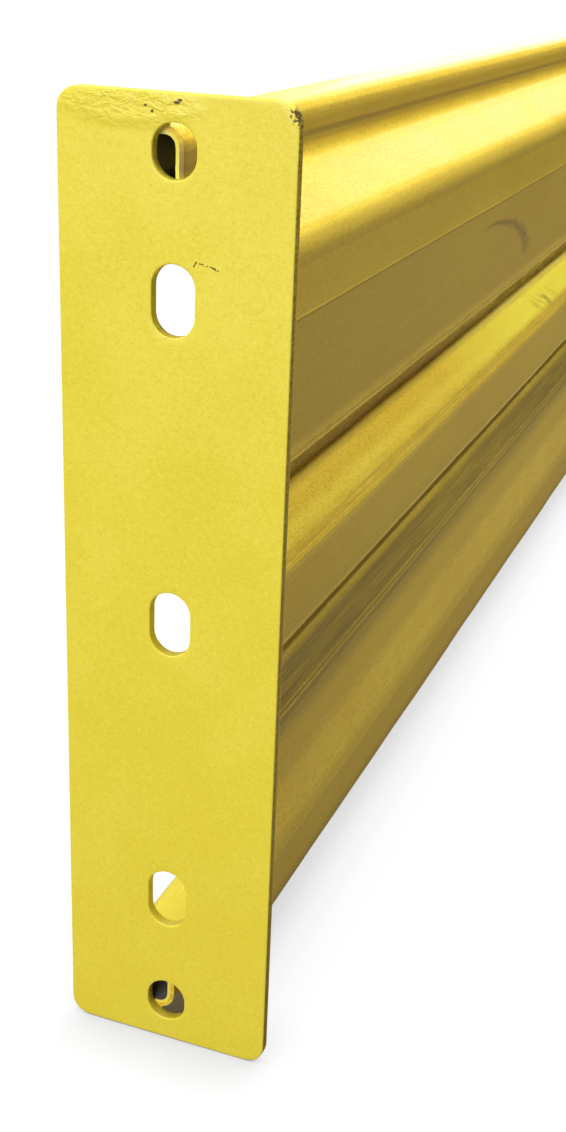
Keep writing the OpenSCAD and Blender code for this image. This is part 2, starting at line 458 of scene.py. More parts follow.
YELLOW = (0.85, 0.625, 0.060, 1)
DEEP_YELLOW = (0.78, 0.54, 0.046, 1)
PALE_YELLOW = (0.88, 0.70, 0.11, 1)
# painted light on the outer edge of the middle rib's upper flank
FLANK_EDGE_LIGHT_YELLOW = (0.95, 0.77, 0.08, 1)
# painted light on the middle rib's upper flank, further along
FAR_FLANK_LIGHT_YELLOW = (0.98, 0.88, 0.09, 1)
LEMON = (0.88, 0.78, 0.10, 1)
# painted highlight on the upper lip's top
HIGHLIGHT_CREAM = (0.95, 0.90, 0.45, 1)
# painted highlights on two fine ridges
HIGHLIGHT_PALE = (0.95, 0.85, 0.40, 1)
# painted light in the bends at the valley floors
LIT_BEND_YELLOW = (0.97, 0.82, 0.17, 1)
AMBER = (0.55, 0.37, 0.03, 1)
# dark brown for grime and scuffs, also for painted shade and a painted dark reflection
GRIME_AND_PAINTED_SHADE = (0.26, 0.18, 0.05, 1)
# painted shade in the lower valley
LOWER_VALLEY_SHADE_BROWN = (0.155, 0.115, 0.042, 1)
DARK_CHIP = (0.045, 0.03, 0.02, 1)
BARE_STEEL = (0.15, 0.15, 0.18, 1)
PALE_STEEL = (0.34, 0.35, 0.42, 1)

PLATE_YELLOW = (0.86, 0.74, 0.068, 1)
PLATE_DEEP = (0.815, 0.685, 0.050, 1)
# painted bounce light at the plate's foot
PLATE_FOOT_BOUNCE_LIGHT = (0.80, 0.63, 0.045, 1)
PLATE_PALE_SPECK = (0.92, 0.82, 0.14, 1)
PLATE_DEEP_SPECK = (0.74, 0.58, 0.035, 1)
CUT_EDGE = (0.20, 0.125, 0.022, 1)
PLATE_CHIP = (0.11, 0.07, 0.015, 1)
WELD_DEEP = (0.70, 0.53, 0.035, 1)
WELD_YELLOW = (0.82, 0.66, 0.05, 1)


class BeamCoat(Finish):
    """Gloss powder coat on rolled sheet, laid out by u, the distance along the beam, and v,
    the distance round the section. Each method gives how much of one thing shows."""

    def __init__(self, starts, ends):
        """Places, and the noises that several methods share: streak, broad and feather lie
        along the rolls, ragged is v with a rough edge, ahead is one on the front skin
        between the lips, and far is one towards the right plate."""
        super().__init__("beam_coat")
        self.starts, self.ends = starts.tolist(), ends.tolist()
        self.u, self.v, _ = self.parts(self.strip())
        self.x, _, self.z = self.parts(self.place())
        self.streak = self.noise(self.strip((0.9, 300, 1)), 1.0, 3.0, 0.6)
        self.broad = self.noise(self.strip((1.2, 34, 1), (3, 1, 0)), 1.0, 2.0, 0.55)
        self.feather = self.noise(self.strip((14, 1500, 1), (5, 2, 0)), 1.0, 3.0, 0.6)
        self.cloud = self.noise(self.place(), 14, 3.0, 0.6)
        fine = self.noise(self.strip((2.5, 900, 1), (1, 7, 0)), 1.0, 2.0, 0.6)
        waver = 0.0008
        self.ragged = self.v + (fine - 0.5) * waver + (self.streak - 0.5) * waver
        front = self.step(self.u, REAR_U / 2 - 0.1, REAR_U / 2 + 0.1, 1, 0)
        between_lips = self.band(self.v, self.ends[Bend.LOW_LIP_REAR],
                                 self.starts[Bend.HIGH_LIP_REAR], 0.002)
        self.ahead = front * between_lips
        self.far = self.step(self.x, -0.36, -0.10)

    def roll_lines_and_shade(self):
        """Dark lines, the same above and below mid height: grime in the marks that the rolls left,
        and painted shade on the middle rib's upper bend, the upper valley's inner bend and the
        upper rib's outer bend.
        """
        starts, ends = self.starts, self.ends
        rib_outer, valley = starts[Bend.HIGH_RIB_OUTER], starts[Bend.HIGH_VALLEY_INNER]
        middle_rib, foot = ends[Bend.MIDDLE_RIB_HIGH], ends[Bend.HIGH_FOOT]
        middle_bend = starts[Bend.MIDDLE_RIB_HIGH]
        stain_and_shade = 0.0
        for middle, half_width, depth in (
                # grime in the marks that the rolls left
                (ends[Bend.HIGH_RIB_INNER] - 0.0034, 0.0011, 0.30),
                (rib_outer - 0.0016, 0.0022, 0.16),
                (middle_rib - 0.0034, 0.0011, 0.16),
                (middle_rib - 0.0052, 0.0009, 0.18),
                (foot + 0.0042, 0.0018, 0.30),
                (foot + 0.0118, 0.0018, 0.30),
                (ends[Bend.HIGH_CREASE] - 0.0007, 0.0006, 0.3),
                # painted shade on three bends, where shade falls
                (middle_bend - 0.0010, 0.0030, 0.10),
                (valley + 0.0040, 0.0045, 0.34),
                (rib_outer + 0.0034, 0.0050, 0.38),
                (middle_bend + 0.0020, 0.0030, 0.28)):
            for v in (middle, ends[-1] - middle):
                stain_and_shade = self.line(self.ragged, v, half_width) * depth + stain_and_shade
        return stain_and_shade

    def painted_rib_shade(self):
        """Painted shade on the rib faces, which face outwards: over the upper and middle ribs,
        deeper on the upper rib below its crease, and on the lower rib next to its inner edge
        and below its crease.
        """
        starts, ends = self.starts, self.ends
        lower_rib = starts[Bend.LOW_RIB_INNER]
        face_shade = 0.0
        for low, high, soft, depth in (
                (ends[Bend.HIGH_RIB_INNER], starts[Bend.HIGH_RIB_OUTER], 0.004, 0.44),
                (ends[Bend.HIGH_RIB_INNER], ends[Bend.HIGH_CREASE], 0.004, 0.12),
                (ends[Bend.MIDDLE_RIB_LOW], starts[Bend.MIDDLE_RIB_HIGH], 0.003, 0.38),
                (lower_rib - 0.022, lower_rib + 0.004, 0.006, 0.34),
                (ends[Bend.LOW_FOOT], ends[Bend.LOW_CREASE] + 0.006, 0.004, 0.34)):
            face_shade = self.band(self.ragged, low, high, soft) * depth + face_shade
        return face_shade

    def threads(self):
        """Fine dark threads along the middle rib's upper bend."""
        bend = self.ends[Bend.MIDDLE_RIB_HIGH]
        where = self.band(self.ragged, bend - 0.0072, bend - 0.0022, 0.0012)
        return where * self.step(self.feather, 0.42, 0.60)

    def lip_face_shade(self):
        """Painted shade on the upper lip's front face, deeper close to the plates."""
        foot, lip = self.ends[Bend.HIGH_FOOT], self.starts[Bend.HIGH_LIP_FRONT]
        face = self.step(self.v, foot - 0.001, foot + 0.002)
        face = face * self.step(self.v, lip - 0.002, lip + 0.002, 1, 0)
        return face * self.step(abs(self.x), BEAM_X - 0.040, BEAM_X - 0.006, 0.58, 0.90)

    def lower_valley_shade(self):
        """Painted shade in the lower valley, lighter on two fine ridges."""
        starts, ends = self.starts, self.ends
        flank, floor = starts[Bend.LOW_RIB_INNER], starts[Bend.LOW_VALLEY_OUTER]
        groove = self.step(self.ragged, flank - 0.008, ends[Bend.LOW_RIB_INNER] - 0.002)
        groove = groove * self.step(self.ragged, floor - 0.003, floor + 0.003, 1, 0)
        groove = groove * self.step(self.ragged, starts[Bend.LOW_VALLEY_INNER],
                                    ends[Bend.LOW_VALLEY_INNER], 1, 0)
        ridges = self.line(self.ragged, flank + 0.0050, 0.0007)
        ridges = ridges + self.line(self.ragged, flank + 0.0066, 0.0006)
        mottle = self.broad * 0.5 + self.feather * 0.5
        lower_valley_shade = groove * self.step(mottle, 0.30, 0.62, 0.62, 0.98) - ridges * 0.22
        return self.math("MAXIMUM", lower_valley_shade * self.ahead, 0.0)

    def painted_highlights(self):
        """Painted highlights: thin pale lines on two fine ridges, on the upper rib's inner bend
        and the middle rib's lower bend.
        """
        inner = self.ends[Bend.HIGH_RIB_INNER] - 0.0050
        under = self.ends[Bend.MIDDLE_RIB_LOW] - 0.0032
        shine = self.line(self.ragged, inner, 0.0006) * 0.5
        return (shine + self.line(self.ragged, under, 0.0005)) * 0.6

    def painted_light_in_bends(self):
        """Painted light in the bends where an up-facing flank meets a valley floor: along the
        whole lower valley, and in the upper valley towards the right plate.
        """
        starts = self.starts
        lower, upper = starts[Bend.LOW_VALLEY_OUTER], starts[Bend.HIGH_VALLEY_INNER]
        far_end = self.ends[Bend.HIGH_VALLEY_INNER] - 0.0015
        far = self.far * self.band(self.v, upper + 0.0020, far_end, 0.0015) * 0.8
        near = self.band(self.v, lower + 0.0012, lower + 0.009, 0.001)
        return (near + far) * self.ahead * 0.9

    def far_flank_light(self):
        """Painted light: the middle rib's upper flank, brighter further along."""
        low = self.ends[Bend.MIDDLE_RIB_HIGH] - 0.001
        high = self.starts[Bend.HIGH_VALLEY_INNER] + 0.001
        return self.far * self.band(self.v, low, high, 0.002) * self.ahead * 0.9

    def painted_arc_reflection(self):
        """A painted reflection on the upper rib: a dark arc where an ellipse's radius is one, give
        or take.
        """
        middle_x, half_length = -0.300, 0.126
        middle_z, half_height = 0.262, 0.036
        across = (self.x - middle_x) * (1 / half_length)
        up = (self.z - middle_z) * (1 / half_height)
        wobble = (self.noise(self.place(), 60) - 0.5) * 0.10
        off = abs(self.length(self.vector(across, up)) + wobble - 1.0)
        width = self.step(self.x, -0.30, -0.19, 0.04, 0.11)
        arc_reflection = self.step(off / width, 0.1, 1, 1, 0)
        arc_reflection = arc_reflection * self.step(self.x, -0.305, -0.27) * self.step(self.z, middle_z, 0.272)
        patchy = self.step(self.noise(self.place(), 260), 0.35, 0.55, 0.40, 0.95)
        return arc_reflection * self.ahead * patchy

    def scuffs(self):
        """A few short scuffs across the middle rib's upper bend."""
        bend = self.ends[Bend.MIDDLE_RIB_HIGH]
        where = self.vector(self.u * 190 + self.v * 60, self.v * 50)
        strokes = self.step(self.noise(where, distortion=1.2), 0.46, 0.66) * self.ahead
        strokes = strokes * self.band(self.x, -0.096, -0.036, 0.012)
        return strokes * self.band(self.v, bend - 0.0020, bend + 0.0075, 0.0030) * 0.75

    def chatter(self):
        """Height of the dents beside the scuffs."""
        patch = self.spot((-0.115, 0, 0.2305), (0.045, 0, 0.010))
        dents = self.noise(self.place((900, 1, 260), (0, 0, 0), (0, 0.4, 0)))
        return self.ahead * self.step(patch, 0.5, 1.0, 1, 0) * dents

    def inside_lips(self):
        """The insides of the hollow lips, which little coat reached."""
        lip = self.starts[Bend.HIGH_LIP_FRONT]
        mirrored = self.ends[-1] - lip
        bare, coated = 0.006, 0.016
        upper = self.step(self.v, lip - coated, lip - bare)
        lower = self.step(self.v, mirrored + bare, mirrored + coated, 1, 0)
        rear = self.step(self.u, REAR_U - 0.70, REAR_U - 0.60)
        return rear * (upper + lower) * 0.94

    def coat(self):
        """The whole coat: its colour, layer on layer, then its gloss and its relief."""
        speck = self.noise(self.place(), 700, 3.0, 0.85)
        peel = self.noise(self.place(), 520, 2.0, 0.55)
        nick = self.node("ShaderNodeTexVoronoi", {"feature": "F1"},
                         {"Vector": self.place(), "Scale": 17.0}, "Distance")
        hole = self.step(nick, 0.010, 0.016, 1, 0)
        # grime in roll marks and threads, mixed with painted shade on bends, rib faces and the
        # upper lip's face
        stain_and_shade = self.roll_lines_and_shade() + self.painted_rib_shade() + self.threads() * 0.30 + self.lip_face_shade()
        middle_rib = self.ends[Bend.MIDDLE_RIB_HIGH]
        # painted light: the outer edge of the middle rib's upper flank painted paler
        flank_edge_light = self.band(self.v, middle_rib + 0.0002, middle_rib + 0.0055, 0.0030)
        # painted highlight: the upper lip's top painted pale cream
        lip_top_highlight = self.band(self.v, self.ends[Bend.HIGH_LIP_FRONT] - 0.001,
                            self.ends[Bend.HIGH_LIP_REAR], 0.002)
        tone = self.streak * 0.2 + self.broad * 0.25 + self.cloud * 0.55
        steel = self.blend(self.step(self.v, 0.2, 0.4), BARE_STEEL, PALE_STEEL)
        # Several layers here are painted light and shade: light on the middle rib's upper flank
        # and in the valley bends, highlights on the lip top and two ridges, shade on rib faces,
        # bends, the lip face and the lower valley, and a dark reflection on the upper rib.
        colour = self.layers(DEEP_YELLOW, [
            (self.step(tone, 0.36, 0.66), YELLOW),
            (flank_edge_light * self.step(self.broad, 0.3, 0.6, 0.3, 0.9), FLANK_EDGE_LIGHT_YELLOW),
            (self.step(speck, 0.50, 0.63, 0, 0.75), PALE_YELLOW),
            (self.step(speck, 0.50, 0.37, 0, 0.65), AMBER),
            (0.9 - self.ahead * 0.9, LEMON),
            (lip_top_highlight * 0.55, HIGHLIGHT_CREAM),
            (stain_and_shade * self.ahead, GRIME_AND_PAINTED_SHADE),
            (self.lower_valley_shade(), LOWER_VALLEY_SHADE_BROWN),
            (self.painted_highlights(), HIGHLIGHT_PALE),
            (self.painted_light_in_bends(), LIT_BEND_YELLOW),
            (self.far_flank_light(), FAR_FLANK_LIGHT_YELLOW),
            (self.painted_arc_reflection(), GRIME_AND_PAINTED_SHADE),
            (hole, DARK_CHIP),
            (self.scuffs(), GRIME_AND_PAINTED_SHADE),
            (self.inside_lips(), steel)])
        gloss = self.cloud * 0.5 + self.streak * 0.5
        rough = self.step(gloss, 0.3, 0.7, 0.20, 0.30) + stain_and_shade * 0.2
        normal = self.relief([(peel, 0.00003), (self.streak, 0.00003),
                              (self.chatter(), 0.0012), (hole, -0.0002)])
        return self.surface(colour, rough, normal)


class PlateCoat(Finish):
    """Gloss powder coat on flat plate: even colour and orange peel, an edge of cut steel
    with a thin coat, dents and chips near one top corner and a broken scratch."""

    def __init__(self):
        """Places, a ragged noise for chipped edges, and outer: one on the left plate's outer
        face alone."""
        super().__init__("plate_coat")
        self.x, self.y, self.z = self.parts(self.place())
        self.ragged = self.noise(self.place(), 900, 2.0, 0.6)
        self.outer = self.step(self.x, -OUTER_X + 0.0008, -OUTER_X + 0.0004)

    def wall(self):
        """The plate's cut edges, and less strongly the walls of its slots."""
        depth = abs(self.x) - INNER_X
        wall = self.step(abs(self.y), HALF_WIDTH - 0.0007, HALF_WIDTH - 0.0003, 0.28, 1.0)
        wall = wall * self.step(depth, 0.0003, 0.0009)
        return wall * self.step(depth, PLATE_DEPTH - 0.0007, PLATE_DEPTH - 0.0003, 1, 0)

    def chips(self):
        """Chips under the top edge: across, up, half width and half height of each."""
        chips = 0.0
        for across, up, width, height in (
                (0.0108, 0.3826, 0.0008, 0.0004), (0.0082, 0.3809, 0.0006, 0.0005),
                (-0.0010, 0.3842, 0.0012, 0.0005), (-0.0020, 0.3850, 0.0009, 0.0005)):
            spot = self.spot((0, across, up), (0, width, height)) + (self.ragged - 0.5) * 1.6
            chips = self.step(spot, 0.75, 1.0, 1, 0) + chips
        return chips

    def scratch(self):
        """Straight strokes of one broken scratch: across, up, turn and half length of each."""
        scratch = 0.0
        for across, up, turn, reach in (
                (-0.0083, 0.3313, 1.15, 0.0011), (-0.0127, 0.3313, -0.20, 0.0046),
                (-0.0155, 0.3305, -0.30, 0.0020)):
            _, y, z = self.parts(self.place((1, 1, 1), (0, -across, -up)))
            run = y * -math.cos(turn) + z * math.sin(turn)
            waver = (self.noise(self.place(), 700) - 0.5) * 0.0007
            off = y * math.sin(turn) + z * math.cos(turn) + waver
            stroke = self.line(off, 0.0, 0.00032)
            scratch = stroke * self.step(abs(run), reach * 0.9, reach, 1, 0) + scratch
        return scratch * self.step(self.ragged, 0.42, 0.5)

    def corner_chip(self):
        """Coat knocked off the left plate's top front corner."""
        spot = self.spot((0, -0.0452, 0.3838), (0, 0.004, 0.0045))
        chip = self.step(spot + (self.ragged - 0.5) * 2.2, 0.6, 0.85, 1, 0)
        return chip * self.step(self.x, -0.55, -0.56)

    def coat(self):
        """The whole coat: its colour, layer on layer, then its relief and its gloss."""
        cloud = self.noise(self.place(), 22, 3.0, 0.6)
        peel = self.noise(self.place(), 430, 2.0, 0.55)
        speck = self.noise(self.place(), 1300, 1.0)
        grain = self.noise(self.place((160, 900, 900)), 1.0, 3.0, 0.7)
        rumple = self.noise(self.place((1, 150, 330), (0, 0, 0), (0.35, 0, 0)), 1.0, 3.0, 0.6, 0.6)
        dented = self.step(self.spot((0, 0.017, 0.3825), (0, 0.030, 0.008)), 0.5, 1.1, 1, 0)
        wall = self.wall()
        flaw = (self.chips() + self.scratch()) * self.outer + self.corner_chip()
        tone = cloud * 0.6 + peel * 0.4
        colour = self.layers(PLATE_DEEP, [
            (self.step(tone, 0.36, 0.66), PLATE_YELLOW),
            # painted bounce light: towards the floor the plate is painted deeper and more orange
            (self.step(self.z, 0.0, 0.2, 0.35, 0.0), PLATE_FOOT_BOUNCE_LIGHT),
            (self.step(speck, 0.56, 0.76, 0, 0.40), PLATE_PALE_SPECK),
            (self.step(speck, 0.44, 0.28, 0, 0.5), PLATE_DEEP_SPECK),
            (wall * self.step(grain, 0.35, 0.65, 0.65, 1.0), CUT_EDGE),
            (flaw, PLATE_CHIP)])
        normal = self.relief([
            (peel + speck * 0.5, 0.00008), (rumple * dented * self.outer, 0.0011),
            (flaw, -0.00025), (grain * wall, 0.0003)])
        return self.surface(colour, self.step(cloud, 0.3, 0.7, 0.34, 0.46), normal)


def weld_coat():
    """Powder coat pooled over weld ripples."""
    f = Finish("weld_coat")
    cloud = f.noise(f.place(), 60, 3.0, 0.6)
    grain = f.noise(f.place(), 700, 3.0, 0.6)
    colour = f.blend(f.step(cloud, 0.35, 0.7), WELD_DEEP, WELD_YELLOW)
    return f.surface(colour, f.step(grain, 0.3, 0.7, 0.26, 0.42), f.relief([(grain, 0.00006)]))


# ---- end plates ----

def slot_cells():
    """[low, high, slot's middle, slot's rise] of the band of plate round each of the five
    slots, measured up from mid height."""
    slot_up = DRAIN_UP - DRAIN_TO_SLOT
    middles = np.array([-DRAIN_UP, -slot_up, 0, slot_up, DRAIN_UP])
    rises = np.array([DRAIN_RISE, SLOT_RISE, SLOT_RISE, SLOT_RISE, DRAIN_RISE])
    cuts = (middles[1:] + middles[:-1]) / 2
    lows = np.concatenate([[-PLATE_HEIGHT / 2], cuts])
    highs = np.concatenate([cuts, [PLATE_HEIGHT / 2]])
    return np.stack([lows, highs, middles, rises], -1)


def round_corner(points, inset):
    """Square-cornered plate outline points, set in by inset, swung onto the corner arcs."""
    half = np.array([HALF_WIDTH, PLATE_HEIGHT / 2])
    centre = half - PLATE_CORNER
    beyond = np.abs(points) - centre
    near = (beyond > 0).all(-1)
    distance = np.maximum(np.linalg.norm(beyond, axis=-1, keepdims=True), 1e-9)
    arc = beyond / distance * (PLATE_CORNER - inset)
    flat = np.clip(np.abs(points), 0, half - inset)
    return np.where(near[..., None], np.sign(points) * (centre + arc), np.sign(points) * flat)


def cell_border(low, high, across, upward):
    """Points round a band of plate, from its low left corner: across along the bottom, up
    the right side, back along the top and down the left side."""
    left_to_right = np.linspace(-1, 1, across, endpoint=False)
    up = np.linspace(low, high, upward, endpoint=False)
    down = np.linspace(high, low, upward, endpoint=False)
    y = np.concatenate([left_to_right, np.ones(upward),
                        np.linspace(1, -1, across, endpoint=False), -np.ones(upward)])
    z = np.concatenate([np.full(across, low), up, np.full(across, high), down])
    return np.stack([y * HALF_WIDTH, z], -1)


def slot_rays(points, middle, rise):
    """For points round an obround slot, the nearest point of its spine, measured from the
    slot's middle, and the unit ray from there to each."""
    local = points - [0, middle]
    spine = np.stack([np.zeros(len(points)), np.clip(local[:, 1], -rise, rise)], -1)
    ray = local - spine
    ray /= np.linalg.norm(ray, axis=1, keepdims=True)
    return spine, ray


def end_plate(name, side, finish):
    """A flat plate with five obround slots. Each slot's band is a grid of rings from the slot
    out to the band's edges; slots and outline get a wall with rounded arrises."""
    across, fewest_up, spacing = 44, 12, 0.0025
    rings, crowding = 12, 1.15
    points, faces, borders = [], [], []
    mid_x = side * (OUTER_X + INNER_X) / 2
    half_thick = PLATE_DEPTH / 2
    swing = np.radians(np.linspace(0, 90, 5))
    reach = ARRIS * np.concatenate([np.sin(swing), np.sin(swing)[::-1]])
    depth = np.concatenate([half_thick - ARRIS + ARRIS * np.cos(swing),
                            -half_thick + ARRIS - ARRIS * np.cos(swing)[::-1]])

    def add_grid(x, grid, outward, **closed):
        """Adds a grid of [y, z] at x, its faces turned over unless they look outward."""
        rows, columns = grid.shape[:2]
        quads = grid_faces(rows, columns, start=sum(map(len, points)), **closed)
        faces.append(quads if outward else quads[:, ::-1])
        x = np.broadcast_to(x, (rows, columns))
        points.append(np.concatenate([x[..., None], grid], -1).reshape(-1, 3))

    cells, digits = slot_cells(), 6
    cuts = np.round(cells[1:, 0], digits)
    for low, high, middle, rise in cells:
        upward = max(fewest_up, round((high - low) / spacing))
        border = cell_border(low, high, across, upward)
        borders.append((border, upward))
        on_cut = np.isin(np.round(border[:, 1], digits), cuts)
        on_cut &= np.abs(border[:, 0]) < HALF_WIDTH - 1e-9
        outer = np.where(on_cut[:, None], border, round_corner(border, ARRIS))
        spine, ray = slot_rays(border, middle, rise)
        rim = spine + ray * (SLOT_RADIUS + ARRIS) + [0, middle]
        share = (np.arange(rings + 1) / rings)[:, None, None] ** crowding
        sheet = rim * (1 - share) + outer * share
        for face_side in (1, -1):
            add_grid(mid_x + face_side * side * half_thick, sheet, face_side * side > 0,
                     close_columns=True)
        wall = rim[:, None] - ray[:, None] * reach[:, None]
        add_grid(mid_x + side * depth, wall, side > 0, close_rows=True)
    right = [border[across:across + upward] for border, upward in borders]
    left = [border[2 * across + upward:] for border, upward in borders[::-1]]
    top_border, upward = borders[-1]
    top = top_border[across + upward:2 * across + upward]
    outline = np.concatenate([borders[0][0][:across], *right, top, *left])
    base = round_corner(outline, ARRIS)
    push = (round_corner(outline, 0) - base) / ARRIS
    wall = base[:, None] + push[:, None] * reach[:, None]
    add_grid(mid_x + side * depth, wall, side < 0, close_rows=True)
    points, faces = merged(np.concatenate(points) + [0, 0, MID_Z], np.concatenate(faces))
    return make_piece(name, points, [faces], finish, sharp=50)


# ---- welds ----

def weld_bead(node, side, runs, path, finish, back=False):
    """Fillet beads between a plate's inner face and the sheet. A crowned quarter section is
    carried along each run of the skin; its legs swell and shrink as the ripples of a
    stacked bead, bowed along the run, and taper to a point at both ends."""
    middle, normal, along = path
    crown, fullness, rooted = 1.45, 0.97, -0.00008
    ripple_pitch, ripple_bow, ripple_drift, ripple_depth = 0.0017, 0.0009, 0.35, 0.055
    step, fewest_steps, thinnest = 0.00035, 24, 0.0004
    turn = np.linspace(0, math.pi / 2, 9)
    bow = np.sin(2 * turn)
    out, off = np.cos(turn) ** crown, np.sin(turn) ** crown
    columns = len(turn) + 1
    points, faces, total = [], [], 0
    for low, high in runs:
        s = np.linspace(low, high, max(fewest_steps, round((high - low) / step)))
        facing = read_off(s, along, normal)
        facing /= np.linalg.norm(facing, axis=1, keepdims=True)
        if back:
            facing = -facing
        skin = read_off(s, along, middle) + facing * HALF_SHEET
        drift = ripple_drift * np.sin(s[:, None] * 410)
        phase = (s[:, None] + ripple_bow * bow) / ripple_pitch + drift
        ripple = 1 + ripple_depth * (np.abs(np.sin(math.pi * phase)) - 0.6) * bow ** 0.5
        swell = 1 + 0.05 * np.sin(s * 230 + 1) + 0.03 * np.sin(s * 611)
        to_end = np.minimum(s - low, high - s) / WELD_LEG
        taper = np.sqrt(np.clip(1 - (1 - np.clip(to_end * 1.3, 0, 1)) ** 2, thinnest, 1))
        leg = WELD_LEG * ripple * (swell * taper)[:, None] * fullness
        root = np.full((len(s), 1), rooted)
        rise = np.concatenate([leg * out, root], 1)
        spread = np.concatenate([leg * off, root], 1)
        place = skin[:, None] + facing[:, None] * rise[..., None]
        x = side * (INNER_X - spread)
        points.append(np.stack([x, -place[..., 0], MID_Z + place[..., 1]], -1).reshape(-1, 3))
        quads = grid_faces(len(s), columns, close_columns=True, start=total)
        start_cap = np.arange(columns)[None] + total
        end_cap = start_cap + (len(s) - 1) * columns
        if (side > 0) != back:
            faces += [quads, start_cap, end_cap[:, ::-1]]
        else:
            faces += [quads[:, ::-1], start_cap[:, ::-1], end_cap]
        total += len(s) * columns
    bead = make_piece(f"{node}_bead", np.concatenate(points), faces, finish, sharp=60)
    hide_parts(node)


def clear_runs(low, high, along, skin):
    """The parts of a run on the skin that stay clear of the two drain slots."""
    spacing, fewest = 0.0001, 25
    s = np.arange(low, high, spacing)
    place = read_off(s, along, skin)
    beyond = np.maximum(np.abs(np.abs(place[:, 1]) - DRAIN_UP) - DRAIN_RISE, 0)
    clear = np.hypot(place[:, 0], beyond) > SLOT_RADIUS + WELD_CLEARANCE
    edges = np.flatnonzero(np.diff(np.concatenate([[0], clear.astype(int), [0]])))
    return [(s[a], s[b - 1]) for a, b in edges.reshape(-1, 2) if b - a > fewest]


def all_welds(finish, path, starts, ends):
    """Five fillets on the front skin at each plate, from lip to lip, and two stitches on the
    back, centred on the height of their nodes."""
    middle, normal, along = path
    fillets = {
        "weld_top_lip": (starts[Bend.HIGH_LIP_FRONT], starts[Bend.HIGH_TUCK]),
        "weld_bottom_lip": (ends[Bend.LOW_TUCK], ends[Bend.LOW_LIP_FRONT]),
        "weld_upper_rib": (starts[Bend.HIGH_VALLEY_OUTER], starts[Bend.HIGH_LIP_FRONT]),
        "weld_lower_rib": (ends[Bend.LOW_LIP_FRONT], ends[Bend.LOW_VALLEY_OUTER]),
        "weld_middle_rib": (ends[Bend.LOW_VALLEY_OUTER], starts[Bend.HIGH_VALLEY_OUTER]),
    }
    stitched_ribs = {
        "stitch_upper_rib": (ends[Bend.HIGH_RIB_INNER], starts[Bend.HIGH_RIB_OUTER]),
        "stitch_lower_rib": (ends[Bend.LOW_RIB_OUTER], starts[Bend.LOW_RIB_INNER]),
    }
    skin = middle + normal * (HALF_SHEET + WELD_LEG / 2)
    for label, side in SIDES:
        for part, (low, high) in fillets.items():
            runs = clear_runs(low, high, along, skin)
            weld_bead(f"{label}_{part}", side, runs, path, finish)
        for part, (low, high) in stitched_ribs.items():
            node = f"{label}_{part}"
            node_low, node_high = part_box(node)
            height = (node_low.z + node_high.z) / 2 - MID_Z
            rib = (along >= low) & (along <= high)
            centre = np.interp(height, middle[rib, 1], along[rib])
            run = centre - STITCH_LENGTH / 2, centre + STITCH_LENGTH / 2
            weld_bead(node, side, [run], path, finish, back=True)


# ---- the piece list ----

*sheet_path, bend_starts, bend_ends = rolled_path(*FINE_STEPS)
beam = rolled_beam(BeamCoat(bend_starts, bend_ends).coat())
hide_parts("beam")
plate_finish = PlateCoat().coat()
for label, side in SIDES:
    plate = end_plate(f"{label}_slotted_plate", side, plate_finish)
    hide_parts(f"{label}_plate")
all_welds(weld_coat(), sheet_path, bend_starts, bend_ends)


# ---- floor, light and camera ----

def lay_floor():
    """A pale floor. Seen by the camera it is white but for the object's own soft shadow, partly
    from the lamps and partly painted from ambient occlusion, and a painted brown shadow close
    in under the beam's two ends. Other rays meet a real, dark, warm floor, and nothing stops a
    shadow ray or a ray from below."""
    reach, drop = 30, 0.0004
    contact_reach, shadow_reach = 0.04, 0.16
    f = Finish("pale_floor")
    real = f.node("ShaderNodeBsdfDiffuse", None, {"Color": (0.15, 0.12, 0.08, 1)})
    lit = f.node("ShaderNodeBsdfDiffuse", None, {"Color": (0.100, 0.102, 0.106, 1)})
    white = f.node("ShaderNodeEmission", None, {"Color": (1, 1, 1, 1), "Strength": 1.0})
    near_sky, wide_sky = (
        f.node("ShaderNodeAmbientOcclusion", {"samples": 16}, {"Distance": distance}, "AO")
        for distance in (contact_reach, shadow_reach))
    # painted shadow: ambient occlusion dims the camera's glow near the object
    level = (near_sky * 0.40 + 0.50) * f.step(wide_sky, 0.08, 0.36, 0.10, 1.0)
    x, y, _ = f.parts(f.place())
    # painted shadow: a brown patch on the floor under each end of the beam
    beneath = f.band(abs(x), BEAM_X - 0.035, BEAM_X + 0.001, 0.006)
    beneath = beneath * f.band(y, -0.016, 0.034, 0.010)
    glow_colour = f.blend(beneath, (1, 1, 1, 1), (0.25, 0.195, 0.11, 1))
    glow = f.node("ShaderNodeEmission", None, {"Color": glow_colour, "Strength": level})
    near = f.node("ShaderNodeAddShader", None, {0: lit, 1: glow})
    away = f.step(f.spot((0, 0, 0), (1.25, 1, 1)), 0.8, 1.3)
    seen = f.node("ShaderNodeMixShader", None, {0: away, 1: near, 2: white})
    camera_ray = f.node("ShaderNodeLightPath", out="Is Camera Ray")
    top = f.node("ShaderNodeMixShader", None, {0: camera_ray, 1: real, 2: seen})
    under = f.math("MAXIMUM", f.node("ShaderNodeNewGeometry", out="Backfacing"),
                   f.node("ShaderNodeLightPath", out="Is Shadow Ray"))
    clear = f.node("ShaderNodeBsdfTransparent")
    shader = f.node("ShaderNodeMixShader", None, {0: under, 1: top, 2: clear})
    f.node("ShaderNodeOutputMaterial", None, {"Surface": shader})
    mesh = bpy.data.meshes.new("floor")
    mesh.from_pydata([(-reach, -reach, 0), (reach, -reach, 0), (reach, reach, 0),
                      (-reach, reach, 0)], [], [(0, 1, 2, 3)])
    mesh.materials.append(f.material)
    floor = bpy.data.objects.new("floor", mesh)
    floor.location.z = -drop
    bpy.context.scene.collection.objects.link(floor)


